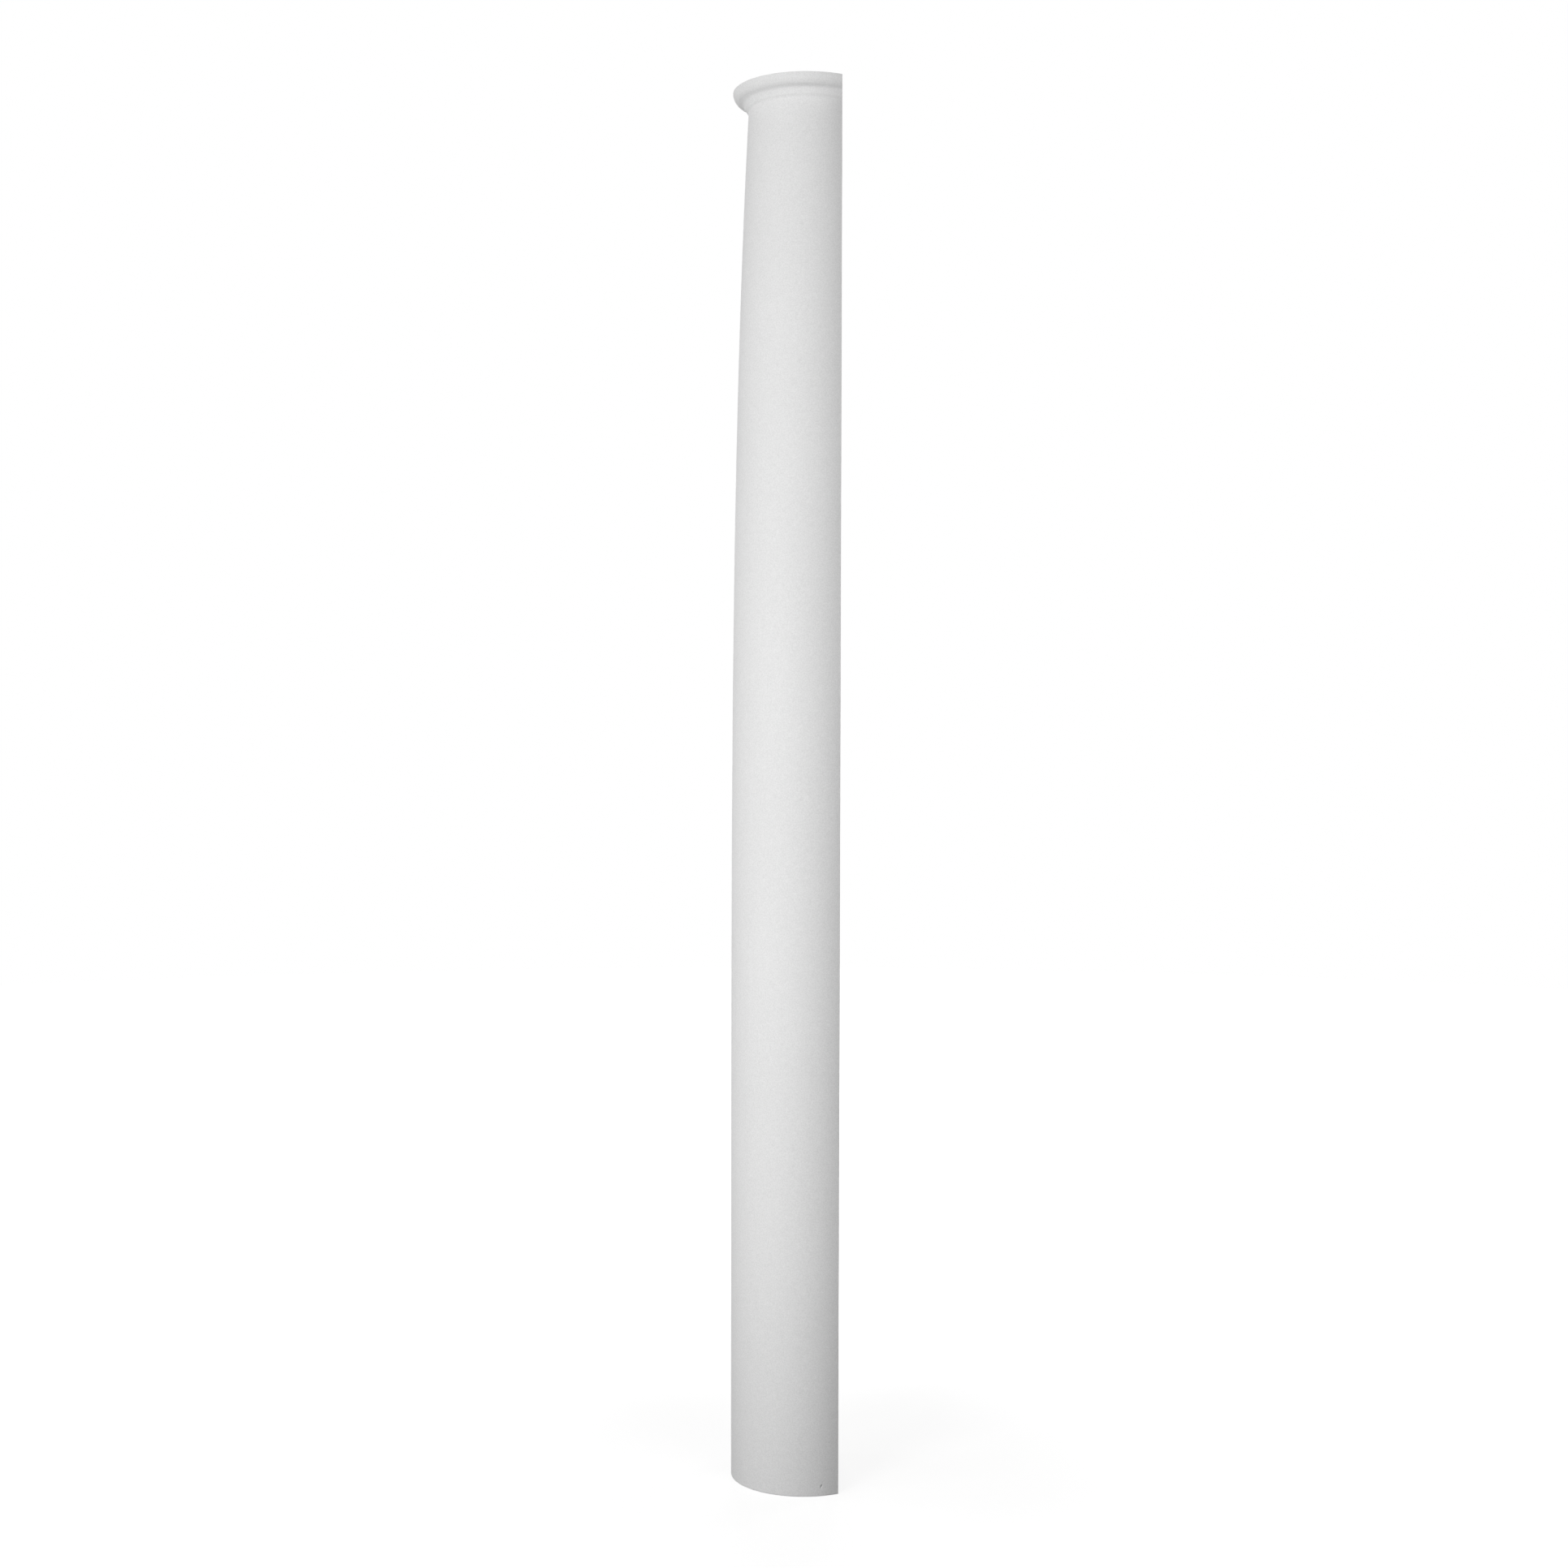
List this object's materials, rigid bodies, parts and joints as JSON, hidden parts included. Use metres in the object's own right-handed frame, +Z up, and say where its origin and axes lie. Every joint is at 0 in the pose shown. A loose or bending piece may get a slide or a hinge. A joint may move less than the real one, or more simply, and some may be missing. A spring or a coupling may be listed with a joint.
{
  "type": "engaged column shaft with astragal",
  "caption": "Plain tapering column shaft with entasis, an astragal at its head and a flat back that stands against a wall.",
  "frame": {"origin": "on the shaft's axis at its underside", "axes": "+Z up along the shaft's axis, +Y out of the flat back towards the wall, -Y the front, +X to the right seen from the front"},
  "size_m": [0.254, 0.1895, 2.4],
  "materials": {
    "primed_shell": "matte"
  },
  "bodies": {
    "root": {"column_shaft": "primed_shell"}
  },
  "joints": []
}
